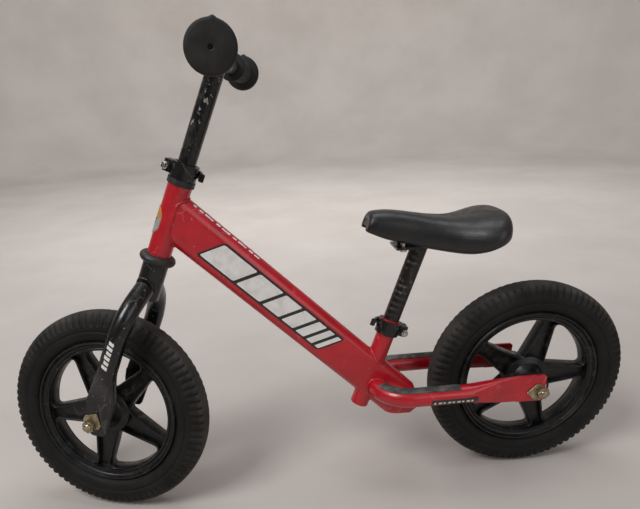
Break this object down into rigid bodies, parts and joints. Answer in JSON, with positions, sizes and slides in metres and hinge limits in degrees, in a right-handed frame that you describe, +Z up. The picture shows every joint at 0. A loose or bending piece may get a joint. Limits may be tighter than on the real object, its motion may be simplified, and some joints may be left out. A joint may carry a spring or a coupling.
{
  "type": "balance bike",
  "caption": "Child's balance bike: steel frame with flat-sided main tube, swivelling fork, foam-tyred moulded wheels, foot platforms on the stays, height-adjustable saddle and handlebar.",
  "frame": {"origin": "on the ground under the middle of the bike's overall box, with the front wheel and fork turned as stored", "axes": "-X forward, -Y towards the rider's left, +Z up; the ground is z = 0"},
  "size_m": [0.8748, 0.3603, 0.6042],
  "materials": {
    "red_paint": "glossy red powder coat with small chips",
    "black_paint": "glossy black paint with scratches",
    "grip_tape": "gritty grey-black grip tape",
    "badge_metal": "satin plate",
    "black_plastic": "satin moulded plastic",
    "bright_steel": "machined steel",
    "zinc_plate": "yellow zinc plating, dulled",
    "rubber_grip": "matt moulded rubber, dusty",
    "nylon_wheel": "satin glass-filled nylon",
    "foam_tyre": "closed-cell foam with a dusty tread",
    "saddle_skin": "grained black vinyl skin over foam"
  },
  "bodies": {
    "frame": {"head_tube": "red_paint", "main_tube": "red_paint", "seat_tube": "red_paint", "left_stay": "red_paint", "right_stay": "red_paint", "left_foot_tape": "grip_tape", "right_foot_tape": "grip_tape", "head_badge": "badge_metal", "upper_headset_bushing": "black_plastic", "lower_headset_bushing": "black_plastic", "seat_collar": "black_paint", "seat_collar_bolt": "bright_steel", "seat_collar_nut": "bright_steel", "seat_lever_pin": "bright_steel", "rear_axle": "bright_steel", "rear_bearing_inner_races": "bright_steel", "rear_axle_spacers": "bright_steel", "rear_tab_washers": "zinc_plate", "rear_axle_nuts": "zinc_plate"},
    "fork": {"steerer_tube": "black_paint", "fork_crown": "black_paint", "left_fork_blade": "black_paint", "right_fork_blade": "black_paint", "bar_collar": "black_paint", "bar_collar_bolt": "bright_steel", "bar_collar_nut": "bright_steel", "bar_lever_pin": "bright_steel", "front_axle": "bright_steel", "front_bearing_inner_races": "bright_steel", "front_axle_spacers": "bright_steel", "front_tab_washers": "zinc_plate", "front_axle_nuts": "zinc_plate"},
    "handlebar": {"handlebar_stem": "black_paint", "crossbar": "black_paint", "left_grip": "rubber_grip", "right_grip": "rubber_grip"},
    "front_wheel": {"front_wheel": "nylon_wheel", "front_tyre": "foam_tyre", "front_bearing_outer_races": "bright_steel"},
    "rear_wheel": {"rear_wheel": "nylon_wheel", "rear_tyre": "foam_tyre", "rear_bearing_outer_races": "bright_steel"},
    "seat": {"seatpost": "black_paint", "seat_bracket": "black_paint", "saddle_base": "black_plastic", "saddle_pad": "saddle_skin", "saddle_screws": "bright_steel"},
    "bar_lever": {"bar_lever": "black_paint"},
    "seat_lever": {"seat_lever": "black_paint"}
  },
  "joints": [
    {"name": "steering", "type": "hinge", "parent": "frame", "child": "fork", "pos_m": [-0.29858, 0, 0.14214], "axis": [0.3987, 0, 0.9171], "continuous": true},
    {"name": "front_wheel_spin", "type": "hinge", "parent": "fork", "child": "front_wheel", "pos_m": [-0.29858, 0, 0.14214], "axis": [0.2895, 0.9489, -0.1259], "continuous": true},
    {"name": "rear_wheel_spin", "type": "hinge", "parent": "frame", "child": "rear_wheel", "pos_m": [0.29542, 0, 0.142], "axis": [0, 1, 0], "continuous": true},
    {"name": "handlebar_height", "type": "slide", "parent": "fork", "child": "handlebar", "axis": [0.3987, 0, 0.9171], "range_m": [-0.02, 0.04]},
    {"name": "seat_height", "type": "slide", "parent": "frame", "child": "seat", "axis": [0.3338, 0, 0.9426], "range_m": [-0.055, 0.04]},
    {"name": "bar_lever_swing", "type": "hinge", "parent": "fork", "child": "bar_lever", "pos_m": [-0.17482, 0.01928, 0.46486], "axis": [0.3987, 0, 0.9171], "range_deg": [0, 150]},
    {"name": "seat_lever_swing", "type": "hinge", "parent": "frame", "child": "seat_lever", "pos_m": [0.1123, 0.0135, 0.2271], "axis": [-0.3338, 0, -0.9426], "range_deg": [0, 150]}
  ]
}
